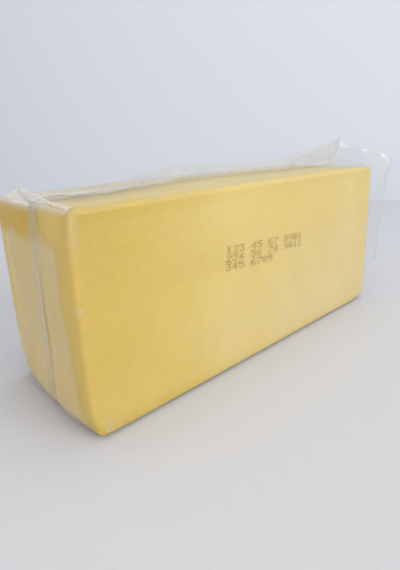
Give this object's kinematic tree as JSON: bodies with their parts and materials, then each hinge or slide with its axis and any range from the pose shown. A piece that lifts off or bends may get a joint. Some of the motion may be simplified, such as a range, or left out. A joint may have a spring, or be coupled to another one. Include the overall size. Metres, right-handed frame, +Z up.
{
  "type": "vacuum-packed cheese block",
  "caption": "Rectangular block of pale yellow semi-hard cheese in a clear vacuum pouch, standing on a long narrow side, with a film fin on top and a loose tail at one end.",
  "frame": {"origin": "middle of the pack's flat underside, under the middle of the cheese block", "axes": "+X along the block towards the pouch's mouth and its loose tail, +Y from the front of the pack to the back, +Z up from the side it stands on"},
  "size_m": [0.2378, 0.0664, 0.0954],
  "materials": {
    "cheese": null,
    "clear_film": "clear glossy multilayer packaging film, a little milky"
  },
  "bodies": {
    "root": {"cheese_block": "cheese", "front_film": "clear_film", "back_film": "clear_film"}
  },
  "joints": []
}
